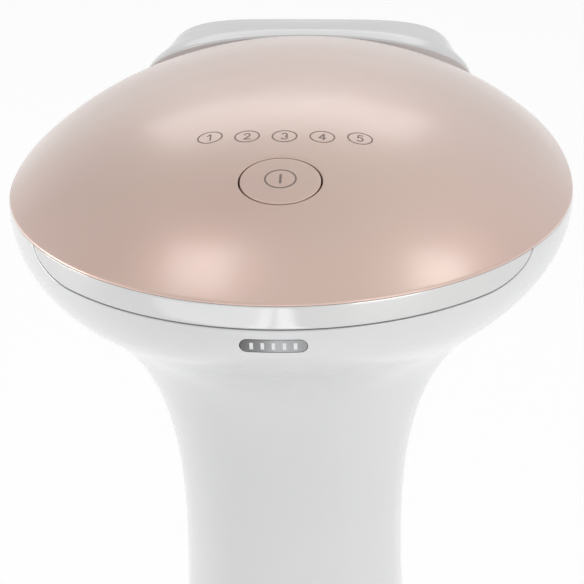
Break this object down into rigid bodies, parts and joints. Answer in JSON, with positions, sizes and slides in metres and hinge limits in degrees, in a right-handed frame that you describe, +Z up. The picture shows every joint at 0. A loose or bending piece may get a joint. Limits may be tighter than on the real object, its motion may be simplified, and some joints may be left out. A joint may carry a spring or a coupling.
{
  "type": "ipl hair remover",
  "caption": "Handheld light-pulse hair remover: egg-shaped head with a metallic cover and trim band on a slim upright grip, with a clip-on window attachment.",
  "frame": {"origin": "centre of the charging socket's mouth in the flat foot of the grip, with z = 0 on the resting face, 0.4 mm below the mouth", "axes": "+Z up along the grip to the head, +Y from the control side towards the light window, +X to the right seen from the control side"},
  "size_m": [0.085, 0.1219, 0.18],
  "materials": {
    "capacitor_sleeve": "shrink sleeve",
    "ceramic": "matt",
    "circuit_board": "solder mask",
    "clear_plastic": "polished",
    "dark_plastic": "fine texture",
    "ferrite": "matt",
    "filter_glass": "coated",
    "gold_contact": "gold plated",
    "led_white": "gloss",
    "magnet": "nickel plated",
    "polished_aluminium": "polished",
    "raw_aluminium": "extruded",
    "rose_gold": "satin metallic",
    "rubber_seal": "matt",
    "silver_trim": "satin",
    "smoked_lens": "gloss",
    "steel": "zinc plated",
    "tube_glass": "clear",
    "white_shell": "gloss"
  },
  "bodies": {
    "handset": {"capacitor_clamp": "dark_plastic", "charging_socket": "dark_plastic", "charging_transformer": "ferrite", "contact_pins": "gold_contact", "control_board": "circuit_board", "control_board_screws": "steel", "engine_tray": "dark_plastic", "exit_filter_glass": "filter_glass", "fan_frame": "dark_plastic", "fan_screws": "steel", "flash_capacitor": "capacitor_sleeve", "flash_tube": "tube_glass", "foot_cap": "white_shell", "front_bezel": "dark_plastic", "front_shell": "white_shell", "head_magnets": "magnet", "heat_sink": "raw_aluminium", "ignition_coil": "ferrite", "lamp_housing": "ceramic", "level_leds": "led_white", "level_light_guides": "clear_plastic", "main_board": "circuit_board", "main_board_screws": "steel", "power_button_board": "circuit_board", "power_switch": "dark_plastic", "ready_light_board": "circuit_board", "ready_light_leds": "led_white", "ready_light_lens": "smoked_lens", "rear_shell": "white_shell", "rear_trim_band": "silver_trim", "reflector": "polished_aluminium", "skin_sensor_board": "circuit_board", "skin_sensor_lens": "smoked_lens", "top_cover": "rose_gold", "tray_screws": "steel", "trigger_board": "circuit_board", "trigger_spring": "steel", "trigger_switch": "dark_plastic", "tube_electrodes": "steel", "window_frame": "dark_plastic", "window_gasket": "rubber_seal"},
    "power_button": {"power_button": "rose_gold", "power_switch_plunger": "dark_plastic"},
    "trigger": {"flash_trigger": "rose_gold"},
    "attachment": {"attachment_shell": "white_shell", "attachment_magnets": "magnet"},
    "contact_frame": {"skin_contact_frame": "rose_gold"},
    "fan": {"fan_rotor": "dark_plastic"}
  },
  "joints": [
    {"name": "power_press", "type": "slide", "parent": "handset", "child": "power_button", "axis": [0, 0.2653, -0.9642], "range_m": [0, 0.0008], "stiffness_N_per_m": 1200, "springref_m": -0.001},
    {"name": "trigger_press", "type": "slide", "parent": "handset", "child": "trigger", "axis": [0, -1, 0], "range_m": [0, 0.002], "stiffness_N_per_m": 700, "springref_m": -0.002, "deforming": ["trigger_spring"]},
    {"name": "attachment_pull", "type": "slide", "parent": "handset", "child": "attachment", "axis": [0, 1, 0], "range_m": [0, 0.03]},
    {"name": "contact_frame_press", "type": "slide", "parent": "attachment", "child": "contact_frame", "axis": [0, -1, 0], "range_m": [0, 0.001], "stiffness_N_per_m": 600, "springref_m": -0.002},
    {"name": "fan_spin", "type": "hinge", "parent": "handset", "child": "fan", "pos_m": [0, 0.009, 0.155], "axis": [0, 1, 0], "continuous": true}
  ]
}
